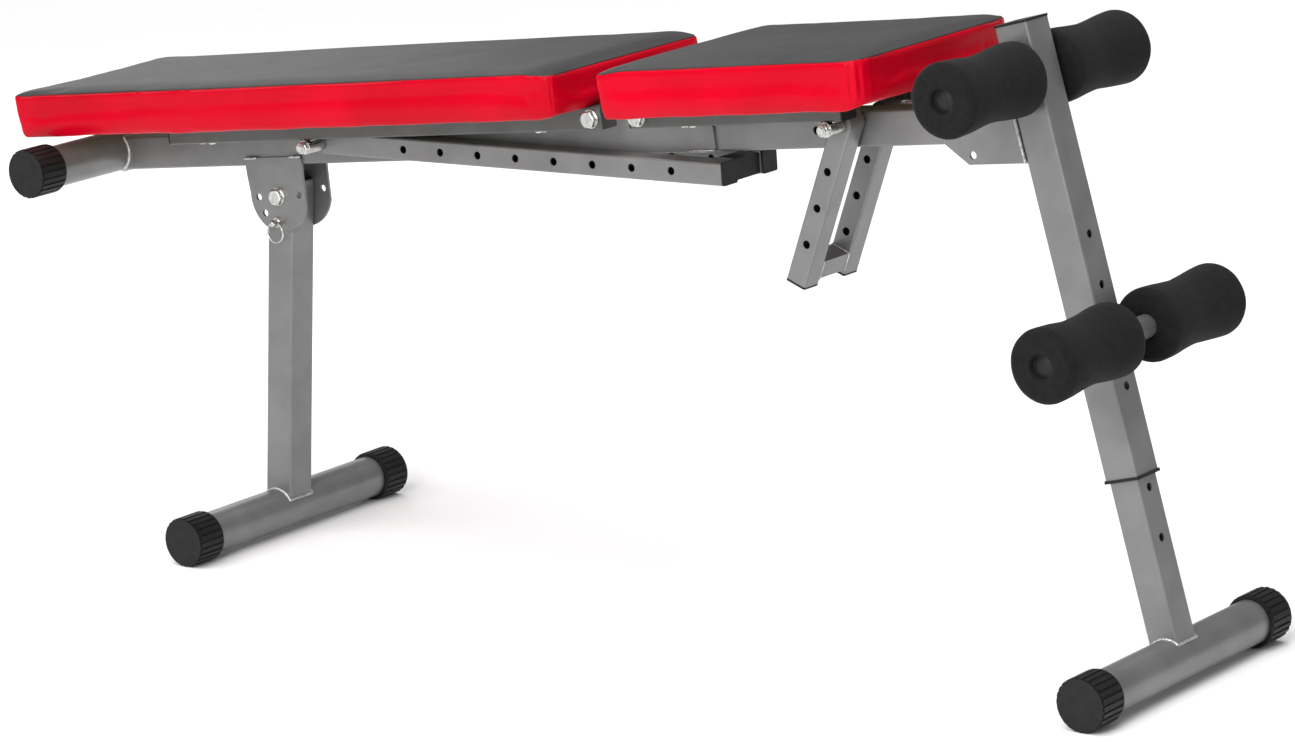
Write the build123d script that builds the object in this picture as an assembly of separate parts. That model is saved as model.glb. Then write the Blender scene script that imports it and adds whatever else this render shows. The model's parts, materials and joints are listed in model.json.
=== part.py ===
from build123d import *
import math
import os

# Adjustable weight bench, millimetres, +Z up.
# +X runs from the head end to the foot end, +Y is the left of a user who faces the foot end.
# The origin is on the floor, on the mid-plane, half way along the bench.

# ---------------------------------------------------------------- driving dimensions
wheelbase = 1211.4          # front foot axis to rear foot axis
foot_length = 360.0         # over the end caps
foot_tube_r = 24.0
foot_wall = 1.8
cap_r = 28.5                # outside of the ribbed end caps
cap_length = 38.4
cap_end_wall = 4.0
cap_rib_count = 24
cap_rib_width = 4.4
cap_rib_depth = 1.6

beam_side = 38.0
beam_wall = 2.0
beam_tilt = 6.33            # foot end higher, degrees
beam_height = 454.4         # beam centre line above the floor, over the front foot
head_bar_u = -222.5         # places on the beam are u along it and w square to it
head_bar_w = 3.8
head_bar_length = 330.0

leg_side = 37.4
leg_wall = 1.8
leg_lean = 5.59             # degrees, top towards the foot end
leg_pivot_height = 376.7    # along the leg, from the foot axis
leg_above_pivot = 17.0
index_radius = 30.3         # lock holes about the leg pivot
leg_index_angles = (0.0, 40.0, 78.0)
stop_hole_radius = 32.0
stop_hole_angle = -103.7
bracket_sweep_r = 42.3
pin_r = 4.0

post_tilt = 14.53           # foot towards the foot end, degrees
post_side = 40.0
post_wall = 1.8
post_bottom = 193.0         # places on the post are s along it, from the rear foot axis
post_top = 664.0
inner_side = 35.0
inner_wall = 1.8
inner_top = 352.0
post_hole_pitch = 52.7
post_hole_r = 4.5
post_hole_first = 283.4     # lowest hole of the outer post
post_hole_count = 4
inner_hole_first = 125.3
inner_hole_count = 5

accessory_hole = (999.0, -30.4)
accessory_hole_r = 4.2

upper_roller_s = 611.0
lower_roller_s = post_hole_first + post_hole_pitch
lower_axle_n = 40.0         # lower axle, off the post's centre line towards the foot end
roller_r = 39.0
roller_waist_r = 35.0
roller_inner = 27.5         # start of a foam roller, from the mid-plane
roller_length = 136.5
roller_edge = 8.5
axle_r = 12.5
axle_wall = 1.5
axle_half_length = 157.0
foam_clearance = 0.1

rail_side = 25.0
rail_wall = 1.5
rail_y = 60.7               # rail centre line from the mid-plane
rail_bottom = 17.3
back_rail_u = (-76.0, 561.0)
seat_rail_u = (601.5, 877.0)
strut_side = 25.0
strut_wall = 1.5
strut_y = 35.2
back_pivot = (549.0, 29.5)
seat_pivot = (613.0, 29.5)
back_strut_pivot_u = 132.0
seat_strut_pivot_u = 857.0
back_strut_tilt = 4.92
seat_strut_tilt = 27.3
back_strut_length = 563.0
seat_strut_length = 185.0
back_hole_first = 122.0
back_hole_pitch = 53.5
back_hole_count = 8
seat_hole_first = 54.3
seat_hole_pitch = 42.7
seat_hole_count = 3
strut_hole_r = 4.5
beam_lock_u = (254.0, 803.5)
bush_r = 8.0

back_pad_u = (-262.0, 552.0)
back_pad_width = 268.0
back_pad_head_width = 250.0
seat_pad_u = (612.0, 960.0)
seat_pad_width = 282.0
pad_thickness = 46.5
pad_corner_r = 18.0
pad_edge_r = 7.0
board_thickness = 12.0
board_inset = 9.0
back_screw_u = (-20.0, 465.0)
seat_screw_u = (676.0, 846.0)

plate = 3.0                 # sheet steel of the brackets
bolt_m10_r = 5.0
bolt_m8_r = 4.0
strut_washer = 1.6          # fasteners of the struts
strut_nut = 7.5
strut_head = 3.0
strut_head_r = 8.0
running_fit = 0.05
side_gap = 0.25             # between parts that turn beside each other

# ---------------------------------------------------------------- frames
pad_bottom = rail_bottom + rail_side
beam_half = beam_side / 2
plate_outer = beam_half + plate
strut_w = rail_bottom - bush_r
tilt = math.radians(beam_tilt)
lean = math.radians(leg_lean)
rake = math.radians(post_tilt)
pad_head_x = (back_pad_u[0] + pad_edge_r) * math.cos(tilt) - pad_edge_r
pad_head_x -= (pad_bottom + pad_thickness - pad_edge_r) * math.sin(tilt)
origin_x = (pad_head_x + wheelbase + cap_r) / 2


def beam_point(u, w):
    """X and Z of a place on the beam."""
    x = u * math.cos(tilt) - w * math.sin(tilt) - origin_x
    z = u * math.sin(tilt) + w * math.cos(tilt) + beam_height
    return x, z


def post_point(s, n):
    """X and Z of a place on the post."""
    x = wheelbase - s * math.sin(rake) + n * math.cos(rake) - origin_x
    z = cap_r + s * math.cos(rake) + n * math.sin(rake)
    return x, z


def leg_point(s):
    """X and Z of a place on the front leg's centre line."""
    return s * math.sin(lean) - origin_x, cap_r + s * math.cos(lean)


beam_frame = Pos(-origin_x, 0, beam_height) * Rot(0, -beam_tilt, 0)
post_frame = Pos(wheelbase - origin_x, 0, cap_r) * Rot(0, -post_tilt, 0)
leg_frame = Pos(-origin_x, 0, cap_r) * Rot(0, leg_lean, 0)
back_strut_frame = beam_frame * Pos(back_strut_pivot_u, 0, strut_w) * Rot(0, back_strut_tilt, 0)
seat_strut_frame = beam_frame * Pos(seat_strut_pivot_u, 0, strut_w) * Rot(0, seat_strut_tilt, 0)

nodes = {}


def add(name, shape):
    """Keeps one sub-part under its node name."""
    nodes[name] = shape


# ---------------------------------------------------------------- shared shapes
def cylinder_y(r, y0, y1, x=0.0, z=0.0):
    """A round bar along Y."""
    return Pos(x, (y0 + y1) / 2, z) * Rot(90, 0, 0) * Cylinder(r, abs(y1 - y0))


def cylinder_x(r, x0, x1, y=0.0, z=0.0):
    """A round bar along X."""
    return Pos((x0 + x1) / 2, y, z) * Rot(0, 90, 0) * Cylinder(r, abs(x1 - x0))


def tube_x(side, wall, x0, x1, y=0.0, z=0.0, corner=2.5):
    """A square tube along X with rounded corners."""
    outer = Rectangle(side, side)
    outer = fillet(outer.vertices(), corner)
    inner = Rectangle(side - 2 * wall, side - 2 * wall)
    inner = fillet(inner.vertices(), max(corner - wall, 0.4))
    bar = extrude(outer - inner, x1 - x0)
    return Pos(x0, y, z) * Rot(0, 90, 0) * bar


def tube_z(side, wall, z0, z1, x=0.0, y=0.0):
    """A square tube along Z."""
    return Pos(x, y, z0) * Rot(0, -90, 0) * tube_x(side, wall, 0, z1 - z0)


def round_tube_y(r, wall, y0, y1, x=0.0, z=0.0):
    """A round tube along Y."""
    return cylinder_y(r, y0, y1, x, z) - cylinder_y(r - wall, y0, y1, x, z)


def sheet_y(outline, y0, y1):
    """A sheet cut to an outline in X and Z, standing between two Y values."""
    face = make_face(Polyline(*outline, close=True))
    return Pos(0, y1, 0) * Rot(90, 0, 0) * extrude(face, y1 - y0)


def hexagon_y(across_flats, y0, y1, x, z, outward=1):
    """A hexagon head or nut along Y, the corners of its outward face turned off."""
    face = RegularPolygon(across_flats / 2, 6, major_radius=False)
    head = Pos(x, y1, z) * Rot(90, 0, 0) * extrude(face, y1 - y0)
    ball_r = across_flats * 0.9
    depth = math.sqrt(ball_r ** 2 - (across_flats * 0.46) ** 2)
    centre_y = y1 - depth if outward > 0 else y0 + depth
    return head & (Pos(x, centre_y, z) * Sphere(ball_r))


def end_cap(side):
    """A ribbed end cap on a foot or head bar, its mouth towards the mid-plane."""
    half_rib = cap_rib_width / 2
    root_r = cap_r - cap_rib_depth
    outline = []
    for k in range(cap_rib_count):
        turn = 2 * math.pi * k / cap_rib_count
        for across, out in ((-half_rib - 0.6, root_r), (-half_rib, cap_r), (half_rib, cap_r),
                            (half_rib + 0.6, root_r)):
            x = across * math.cos(turn) + out * math.sin(turn)
            z = out * math.cos(turn) - across * math.sin(turn)
            outline.append((x, z))
    y_end = foot_length / 2
    ribs = sheet_y(outline, y_end - cap_length + 2.0, y_end - 1.5)
    rim = cylinder_y(cap_r - 0.6, y_end - cap_length, y_end - cap_length + 2.0)
    disc = cylinder_y(cap_r - 1.2, y_end - 1.5, y_end)
    cup = cylinder_y(foot_tube_r, y_end - cap_length, y_end - cap_end_wall)
    cap = ribs + rim + disc - cup
    if side < 0:
        cap = mirror(cap, Plane.XZ)
    return cap


def foot_bar(length):
    """The round cross tube between two end caps."""
    half = length / 2 - cap_end_wall
    return round_tube_y(foot_tube_r, foot_wall, -half, half)


def through_bolt(r, across_flats, head_y, nut_y, u, w, head_t=6.4, nut_t=8.0, washer_t=1.6):
    """A hexagon bolt along Y on the beam, its head to the right (-Y)."""
    shank = cylinder_y(r, head_y - washer_t, nut_y + washer_t + nut_t + 3.0, u, w)
    head = hexagon_y(across_flats, head_y - washer_t - head_t, head_y - washer_t, u, w, -1)
    return shank + head


def washers_and_nut(r, across_flats, head_y, nut_y, u, w, nut_t=8.0, washer_t=1.6):
    """Two washers and a lock nut with its round collar, for a through bolt."""
    washer_r = across_flats * 0.6
    near = cylinder_y(washer_r, head_y - washer_t, head_y, u, w)
    far = cylinder_y(washer_r, nut_y, nut_y + washer_t, u, w)
    nut = hexagon_y(across_flats, nut_y + washer_t, nut_y + washer_t + nut_t * 0.75, u, w)
    collar = cylinder_y(across_flats * 0.42, nut_y + washer_t + nut_t * 0.75, nut_y + washer_t + nut_t, u, w)
    bore = cylinder_y(r, head_y - 20, nut_y + 40, u, w)
    return [near - bore, (far + nut + collar) - bore]


# ---------------------------------------------------------------- main frame
def main_beam():
    u_end = 1100.0
    beam = tube_x(beam_side, beam_wall, head_bar_u, u_end)
    beam -= cylinder_y(foot_tube_r, -40, 40, head_bar_u, head_bar_w)
    beam -= Pos(head_bar_u - 50, 0, 0) * Box(100, 60, 60)
    for u in beam_lock_u:
        beam -= cylinder_y(strut_hole_r, -40, 40, u, 0)
    beam = beam_frame * beam
    beyond = post_frame * Pos(-post_side / 2 - plate + 200, 0, 500) * Box(400, 100, 500)
    return beam - beyond


def head_bar():
    bar = foot_bar(head_bar_length)
    return beam_frame * Pos(head_bar_u, 0, head_bar_w) * bar


def head_cap(side):
    shift = side * (head_bar_length - foot_length) / 2
    return beam_frame * Pos(head_bar_u, shift, head_bar_w) * Rot(0, beam_tilt, 0) * end_cap(side)


leg_pivot_x, leg_pivot_z = leg_point(leg_pivot_height)


def about_leg_pivot(radius, angle):
    """X and Z at an angle about the leg pivot, from straight down the leg towards the head end."""
    turn = lean + math.radians(angle)
    return leg_pivot_x - radius * math.sin(turn), leg_pivot_z - radius * math.cos(turn)


def front_bracket(side):
    top_w = -beam_half + 9.5
    outline = [beam_point(-13.0, top_w), beam_point(71.0, top_w), beam_point(73.5, top_w - 3)]
    for angle in range(-84, 85, 7):
        outline.append(about_leg_pivot(bracket_sweep_r, angle))
    outline.append(beam_point(-13.0, -28.0))
    y0, y1 = sorted((side * beam_half, side * plate_outer))
    cheek = sheet_y(outline, y0, y1)
    cheek -= cylinder_y(bolt_m10_r, -60, 60, leg_pivot_x, leg_pivot_z)
    for angle in leg_index_angles:
        x, z = about_leg_pivot(index_radius, angle)
        cheek -= cylinder_y(pin_r + running_fit, -60, 60, x, z)
    x, z = about_leg_pivot(stop_hole_radius, stop_hole_angle)
    return cheek - cylinder_y(pin_r, -60, 60, x, z)


def pivot_bracket(side):
    """A cheek on the beam's side that carries the backrest and seat pivots."""
    lift = back_pivot[1] + 9.5
    outline = [(486, -beam_half + 2), (670, -beam_half + 2), (670, 8), (624, lift - 3), (619, lift),
               (607, lift), (601, lift - 4), (596, 28), (566, 28), (560, lift - 4), (555, lift),
               (543, lift), (537, lift - 3), (486, 8)]
    y0, y1 = sorted((side * beam_half, side * plate_outer))
    cheek = sheet_y(outline, y0, y1)
    for u, w in (back_pivot, seat_pivot):
        cheek -= cylinder_y(bolt_m10_r, -60, 60, u, w)
    return beam_frame * cheek


def rear_bracket():
    """A bent U of sheet: its web lies on the post and its cheeks on the beam."""
    web_n = -post_side / 2
    cheek = [(966, -beam_half + 1), (993, -40), (1085, -40), (1085, 56), (1000, 30), (966, 14)]
    sides = sheet_y(cheek, -plate_outer, plate_outer) - Box(4000, beam_side, 400)
    sides = beam_frame * sides
    beyond = post_frame * Pos(web_n + 200, 0, 500) * Box(400, 100, 500)
    web = post_frame * Pos(web_n - plate / 2, 0, 565.0) * Box(plate, 2 * plate_outer, 78)
    bracket = sides - beyond + web
    hole = beam_frame * cylinder_y(accessory_hole_r, -60, 60, *accessory_hole)
    up = Vector(-math.sin(rake), 0, math.cos(rake))
    face_x, face_z = post_point(565.0, web_n)
    bends = []
    for edge in bracket.edges().filter_by(GeomType.LINE):
        off = edge.center() - Vector(face_x, 0, face_z)
        across = off.X * math.cos(rake) + off.Z * math.sin(rake)
        along = abs((edge @ 1 - edge @ 0).dot(up)) / edge.length
        if abs(across) < 0.05 and abs(abs(off.Y) - plate_outer) < 0.05 and along > 0.999:
            bends.append(edge)
    bracket = fillet(bends, 2.8)
    return bracket - hole


def post_outer():
    post = tube_z(post_side, post_wall, post_bottom, post_top)
    for k in range(post_hole_count):
        s = post_hole_first + k * post_hole_pitch
        post -= cylinder_x(post_hole_r, -60, 60, 0, s)
    post -= cylinder_y(axle_r, -60, 60, 0, upper_roller_s)
    return post_frame * post


def post_top_cap():
    cap = Pos(0, 0, post_top + 1.2) * Box(post_side + 1.4, post_side + 1.4, 2.4)
    cap = fillet(cap.edges().filter_by(Axis.Z), 3.0)
    plug = Pos(0, 0, post_top - 8) * Box(post_side - 2 * post_wall - 0.6, post_side - 2 * post_wall - 0.6, 16)
    return post_frame * (cap + plug)


def post_bush():
    """The plastic guide in the mouth of the outer post."""
    flange = Pos(0, 0, post_bottom - 1.5) * Box(post_side + 3.2, post_side + 3.2, 3.0)
    flange = fillet(flange.edges().filter_by(Axis.Z), 3.0)
    sleeve_side = post_side - 2 * post_wall - 0.1
    sleeve = Pos(0, 0, post_bottom + 15) * Box(sleeve_side, sleeve_side, 30)
    sleeve = fillet(sleeve.edges().filter_by(Axis.Z), 0.7)
    bore_side = inner_side + 2 * running_fit
    bore = Pos(0, 0, post_bottom) * Box(bore_side, bore_side, 100)
    bore = fillet(bore.edges().filter_by(Axis.Z), 2.4)
    return post_frame * (flange + sleeve - bore)


def axle(s, n):
    return post_frame * round_tube_y(axle_r, axle_wall, -axle_half_length, axle_half_length, n, s)


def axle_plug(side, s, n):
    """A domed plug in the end of a roller axle."""
    stem_r = axle_r - axle_wall
    stem = cylinder_y(stem_r, axle_half_length - 14, axle_half_length)
    rim = cylinder_y(axle_r, axle_half_length, axle_half_length + 1.2)
    dome_r = 30.0
    dome = Pos(0, axle_half_length + 3.4 - dome_r, 0) * Sphere(dome_r)
    dome &= cylinder_y(axle_r, axle_half_length + 1.2, axle_half_length + 6)
    plug = stem + rim + dome
    if side < 0:
        plug = mirror(plug, Plane.XZ)
    return post_frame * Pos(n, 0, s) * plug


def foam_roller(side, s, n):
    """A waisted foam sleeve."""
    bore = axle_r + foam_clearance
    y0 = 0.0
    y1 = roller_length
    shoulder = roller_r - roller_edge
    arc_low = roller_edge * (1 - math.sqrt(0.5))
    start = Line((bore, y0), (shoulder, y0))
    edge_a = ThreePointArc((shoulder, y0), (roller_r - arc_low, y0 + arc_low), (roller_r, y0 + roller_edge))
    waist = ThreePointArc((roller_r, y0 + roller_edge), (roller_waist_r, (y0 + y1) / 2),
                          (roller_r, y1 - roller_edge))
    edge_b = ThreePointArc((roller_r, y1 - roller_edge), (roller_r - arc_low, y1 - arc_low), (shoulder, y1))
    finish = Line((shoulder, y1), (bore, y1))
    inside = Line((bore, y1), (bore, y0))
    face = make_face([start, edge_a, waist, edge_b, finish, inside])
    sleeve = Pos(0, roller_inner, 0) * revolve(face, Axis.Y)
    if side < 0:
        sleeve = mirror(sleeve, Plane.XZ)
    return post_frame * Pos(n, 0, s) * sleeve


add("main_beam", main_beam())
add("head_crossbar", head_bar())
add("post_outer", post_outer())
add("post_top_cap", post_top_cap())
add("post_bush", post_bush())
add("rear_bracket", rear_bracket())
add("upper_axle", axle(upper_roller_s, 0))
for side_name, side in (("left", 1), ("right", -1)):
    add("upper_roller_" + side_name, foam_roller(side, upper_roller_s, 0))
    add("lower_roller_" + side_name, foam_roller(side, lower_roller_s, lower_axle_n))
add("head_caps", Compound([head_cap(side) for side in (1, -1)]))
add("front_brackets", Compound([front_bracket(side) for side in (1, -1)]))
add("pivot_brackets", Compound([pivot_bracket(side) for side in (1, -1)]))
add("upper_axle_plugs", Compound([axle_plug(side, upper_roller_s, 0) for side in (1, -1)]))


# ---------------------------------------------------------------- pivots on the frame
rail_outer = rail_y + rail_side / 2
rail_inner = rail_y - rail_side / 2
pivot_bolts = []
pivot_nuts = []
pivot_spacers = []
for u, w in (back_pivot, seat_pivot):
    head_y = -rail_outer - side_gap
    bolt = through_bolt(bolt_m10_r, 17.0, head_y, -head_y, u, w)
    pivot_bolts.append(beam_frame * bolt)
    hardware = washers_and_nut(bolt_m10_r, 17.0, head_y, -head_y, u, w)
    spacers = [round_tube_y(9.0, 9.0 - bolt_m10_r, plate_outer, rail_inner - side_gap, u, w),
               round_tube_y(9.0, 9.0 - bolt_m10_r, -rail_inner + side_gap, -plate_outer, u, w)]
    pivot_nuts += [beam_frame * piece for piece in hardware]
    pivot_spacers += [beam_frame * piece for piece in spacers]
add("pivot_bolts", Compound(pivot_bolts))
add("pivot_nuts", Compound(pivot_nuts))
add("pivot_spacers", Compound(pivot_spacers))

leg_bolt = through_bolt(bolt_m10_r, 17.0, -plate_outer, plate_outer, leg_pivot_x, leg_pivot_z)
add("leg_bolt", leg_bolt)
leg_hardware = washers_and_nut(bolt_m10_r, 17.0, -plate_outer, plate_outer, leg_pivot_x, leg_pivot_z)
add("leg_nut", Compound(leg_hardware))


# ---------------------------------------------------------------- front leg and its lock pin
def front_leg_tube():
    leg = tube_z(leg_side, leg_wall, 0, leg_pivot_height + leg_above_pivot)
    leg -= cylinder_y(foot_tube_r, -60, 60)
    leg -= Pos(0, 0, -foot_tube_r) * Box(80, 80, 2 * foot_tube_r)
    leg -= cylinder_y(bolt_m10_r + running_fit, -60, 60, 0, leg_pivot_height)
    leg -= cylinder_y(pin_r + running_fit, -60, 60, 0, leg_pivot_height - index_radius)
    return leg_frame * leg


pin_x, pin_z = about_leg_pivot(index_radius, 0)
pin_head_y = -plate_outer - 9.0
ring_wire_r = 1.0
ring_r = 11.5
ring_hole_y = -plate_outer - 6.0
ring_hole_r = 2.2


def lock_pin():
    """A ring pin: nose in the right cheek, collar outside it, cross hole for the ring."""
    nose = cylinder_y(pin_r, pin_head_y, -beam_half - 0.1, pin_x, pin_z)
    collar = cylinder_y(pin_r + 1.6, -plate_outer - 3.0, -plate_outer - 0.2, pin_x, pin_z)
    tip = Pos(pin_x, pin_head_y, pin_z) * Sphere(pin_r)
    hole = cylinder_x(ring_hole_r, pin_x - 20, pin_x + 20, ring_hole_y, pin_z)
    return nose + collar + tip - hole


def pin_ring():
    return Pos(pin_x, ring_hole_y, pin_z + 0.4 - ring_r) * Rot(90, 0, 0) * Torus(ring_r, ring_wire_r)


add("front_leg_tube", front_leg_tube())
add("front_foot_tube", Pos(-origin_x, 0, cap_r) * foot_bar(foot_length))
add("leg_lock_pin", lock_pin())
add("leg_lock_ring", pin_ring())


# ---------------------------------------------------------------- telescopic rear post and foot
def post_inner():
    post = tube_z(inner_side, inner_wall, 0, inner_top)
    post -= cylinder_y(foot_tube_r, -60, 60)
    post -= Pos(0, 0, -foot_tube_r) * Box(80, 80, 2 * foot_tube_r)
    for k in range(inner_hole_count):
        post -= cylinder_x(post_hole_r, -60, 60, 0, inner_hole_first + k * post_hole_pitch)
    return post_frame * post


add("post_inner", post_inner())
add("rear_foot_tube", Pos(wheelbase - origin_x, 0, cap_r) * foot_bar(foot_length))
add("front_foot_caps", Compound([Pos(-origin_x, 0, cap_r) * end_cap(side) for side in (1, -1)]))
add("rear_foot_caps", Compound([Pos(wheelbase - origin_x, 0, cap_r) * end_cap(side) for side in (1, -1)]))


# ---------------------------------------------------------------- lower roller carriage
def lower_axle():
    bolt_hole = cylinder_x(bolt_m8_r, -100, lower_axle_n, 0, lower_roller_s)
    return axle(lower_roller_s, lower_axle_n) - post_frame * bolt_hole


def lower_saddle():
    """The block that seats the round axle on the post's flat face."""
    face_n = post_side / 2 + side_gap
    block = Pos((face_n + lower_axle_n) / 2, 0, lower_roller_s) * Box(lower_axle_n - face_n, 34, 30)
    block -= cylinder_y(axle_r, -60, 60, lower_axle_n, lower_roller_s)
    return post_frame * (block - cylinder_x(bolt_m8_r, -100, 100, 0, lower_roller_s))


def lower_axle_bolt():
    start = post_side / 2 + side_gap
    inside_n = lower_axle_n + 4.0
    shank = cylinder_x(bolt_m8_r, start, inside_n, 0, lower_roller_s)
    head = Pos(inside_n - 3.0, 0, lower_roller_s) * Sphere(6.5)
    head -= Pos(inside_n - 13.0, 0, lower_roller_s) * Box(20, 40, 40)
    head &= cylinder_y(axle_r - axle_wall, -60, 60, lower_axle_n, lower_roller_s)
    return post_frame * (shank + head)


add("lower_axle", lower_axle())
add("lower_axle_saddle", lower_saddle())
add("lower_axle_bolt", lower_axle_bolt())
add("lower_axle_plugs", Compound([axle_plug(side, lower_roller_s, lower_axle_n) for side in (1, -1)]))


# ---------------------------------------------------------------- backrest and seat
def rail(side, span, pivot, screws):
    y = side * rail_y
    w = rail_bottom + rail_side / 2
    bar = tube_x(rail_side, rail_wall, span[0], span[1], y, w, 2.0)
    bar -= cylinder_y(bolt_m10_r + running_fit, -100, 100, *pivot)
    for u in screws:
        bar -= Pos(u, y, w) * Cylinder(3.3, 60)
    return beam_frame * bar


def rail_plugs(span, ends):
    """Black plastic plugs in the open ends of the rails."""
    w = rail_bottom + rail_side / 2
    stem_side = rail_side - 2 * rail_wall - 0.4
    plugs = []
    for side in (1, -1):
        for u, out in ends:
            face = Pos(u + out * 1.0, side * rail_y, w) * Box(2.0, rail_side, rail_side)
            face = fillet(face.edges().filter_by(Axis.X), 1.8)
            stem = Pos(u - out * 2.2, side * rail_y, w) * Box(4.4, stem_side, stem_side)
            plugs.append(beam_frame * (face + stem))
    return Compound(plugs)


def rail_end_plates(u):
    """Thin steel plates welded over the rails' pivot ends."""
    w = rail_bottom + rail_side / 2
    plates = []
    for side in (1, -1):
        end = Pos(u + 0.75, side * rail_y, w) * Box(1.5, rail_side, rail_side)
        end = fillet(end.edges().filter_by(Axis.X), 1.8)
        plates.append(beam_frame * end)
    return Compound(plates)


def pad_outline(span, width, head_width, inset):
    """A cushion's plan: round corners, and a little narrower at the head end."""
    u0 = span[0] + inset
    u1 = span[1] - inset
    half = width / 2 - inset
    head_half = head_width / 2 - inset
    flare_u = u0 + 0.36 * (u1 - u0)
    points = [(u0, -head_half), (u0 + 0.2 * (u1 - u0), -head_half), (flare_u, -half), (u1, -half),
              (u1, half), (flare_u, half), (u0 + 0.2 * (u1 - u0), head_half), (u0, head_half)]
    if head_half == half:
        points = [(u0, -half), (u1, -half), (u1, half), (u0, half)]
    face = make_face(Polyline(*points, close=True))
    corners = [v for v in face.vertices() if min(abs(v.X - u0), abs(v.X - u1)) < 0.01]
    return fillet(corners, pad_corner_r - inset / 2)


def board(span, width, head_width, screws):
    """The plywood that the cushion is wrapped round."""
    panel = Pos(0, 0, pad_bottom) * extrude(pad_outline(span, width, head_width, board_inset), board_thickness)
    for u in screws:
        for side in (1, -1):
            panel -= Pos(u, side * rail_y, pad_bottom + 4.0) * Cylinder(3.05, 8.2)
    return panel


def pad(span, width, head_width):
    """The cushion, with the board let into its underside."""
    block = Pos(0, 0, pad_bottom) * extrude(pad_outline(span, width, head_width, 0), pad_thickness)
    top = block.edges().group_by(Axis.Z)[-1]
    bottom = block.edges().group_by(Axis.Z)[0]
    block = fillet(list(top) + list(bottom), pad_edge_r)
    panel = Pos(0, 0, pad_bottom) * extrude(pad_outline(span, width, head_width, board_inset), board_thickness)
    return block - panel


def pad_screws(screws):
    """Pan head screws up through the rails into the board."""
    group = []
    for u in screws:
        for side in (1, -1):
            shank_top = pad_bottom + 8.0
            head_low = rail_bottom - 2.6
            shank_height = shank_top - rail_bottom
            shank = Pos(u, side * rail_y, rail_bottom + shank_height / 2) * Cylinder(3.0, shank_height)
            head = Pos(u, side * rail_y, head_low + 1.3) * Cylinder(5.5, 2.6)
            head = fillet(head.edges().group_by(Axis.Z)[0], 1.8)
            group.append(beam_frame * (shank + head))
    return Compound(group)


def strut_bushes(u):
    """The bushes welded under the rails for a strut bolt."""
    return Compound([beam_frame * round_tube_y(bush_r, bush_r - bolt_m8_r, side * rail_inner,
                                               side * rail_outer, u, strut_w) for side in (1, -1)])


def strut_fasteners(u):
    """A short bolt at each side, its low head beside the beam and its nut outside the bush."""
    bolts = []
    nuts = []
    strut_inner = strut_y - strut_side / 2
    nut_y = rail_outer + strut_washer
    for side in (1, -1):
        shank = cylinder_y(bolt_m8_r, strut_inner - side_gap, nut_y + strut_nut + 2.0, u, strut_w)
        head = cylinder_y(strut_head_r, strut_inner - side_gap - strut_head, strut_inner - side_gap, u, strut_w)
        washer = cylinder_y(8.0, rail_outer, nut_y, u, strut_w)
        nut = hexagon_y(13.0, nut_y, nut_y + strut_nut * 0.75, u, strut_w)
        collar = cylinder_y(5.6, nut_y + strut_nut * 0.75, nut_y + strut_nut, u, strut_w)
        nut = (washer + nut + collar) - cylinder_y(bolt_m8_r, 60, 120, u, strut_w)
        bolt = shank + head
        if side < 0:
            bolt = mirror(bolt, Plane.XZ)
            nut = mirror(nut, Plane.XZ)
        bolts.append(beam_frame * bolt)
        nuts.append(beam_frame * nut)
    return Compound(bolts), Compound(nuts)


for name, span, screws, pivot, width, head_width, strut_u in (
        ("back", back_rail_u, back_screw_u, back_pivot, back_pad_width, back_pad_head_width,
         back_strut_pivot_u),
        ("seat", seat_rail_u, seat_screw_u, seat_pivot, seat_pad_width, seat_pad_width,
         seat_strut_pivot_u)):
    pad_span = back_pad_u if name == "back" else seat_pad_u
    plug_ends = [(span[0], -1), (span[1], 1)] if name == "seat" else [(span[0], -1)]
    add(name + "_rail_left", rail(1, span, pivot, screws))
    add(name + "_rail_right", rail(-1, span, pivot, screws))
    add(name + "_rail_plugs", rail_plugs(span, plug_ends))
    add(name + "_board", beam_frame * board(pad_span, width, head_width, screws))
    add(name + "_pad", beam_frame * pad(pad_span, width, head_width))
    add(name + "_pad_screws", pad_screws(screws))
    add(name + "_strut_bushes", strut_bushes(strut_u))
    if name == "back":
        add("back_rail_end_plates", rail_end_plates(span[1]))
    bolts, nuts = strut_fasteners(strut_u)
    add(name + "_strut_bolts", bolts)
    add(name + "_strut_nuts", nuts)


# ---------------------------------------------------------------- struts
def strut_tube(side, length, first, pitch, count):
    """A perforated tube along local X, round about its pivot end."""
    half = strut_side / 2
    tube = tube_x(strut_side, strut_wall, 0, length, side * strut_y)
    nose = round_tube_y(half, strut_wall, side * strut_y - half, side * strut_y + half)
    nose -= Pos(50, 0, 0) * Box(100, 200, 200)
    cheeks = [Pos(-half / 2, side * strut_y + k * (half - strut_wall / 2), 0) * Box(half, strut_wall, strut_side)
              for k in (-1, 1)]
    around = cylinder_y(half, -100, 100)
    for cheek in cheeks:
        nose += cheek & around
    tube += nose
    tube -= cylinder_y(bolt_m8_r + running_fit, -100, 100)
    for k in range(count):
        tube -= cylinder_y(strut_hole_r, -100, 100, first + k * pitch, 0)
    return tube


def strut_crossbar(near, far, height):
    """The tube between a strut's two sides."""
    gap = strut_y - strut_side / 2
    bar = Pos((near + far) / 2, 0, 0) * Box(far - near, 2 * gap, height)
    bore = Pos((near + far) / 2, 0, 0) * Box(far - near - 2 * strut_wall, 2 * gap, height - 2 * strut_wall)
    return bar - bore


def strut_plugs(length):
    plugs = []
    stem_side = strut_side - 2 * strut_wall - 0.4
    for side in (1, -1):
        face = Pos(length + 1.25, side * strut_y, 0) * Box(2.5, strut_side, strut_side)
        face = fillet(face.edges().filter_by(Axis.X), 2.2)
        stem = Pos(length - 6, side * strut_y, 0) * Box(12, stem_side, stem_side)
        stem = fillet(stem.edges().filter_by(Axis.X), 1.2)
        plugs.append(face + stem)
    return plugs


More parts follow.
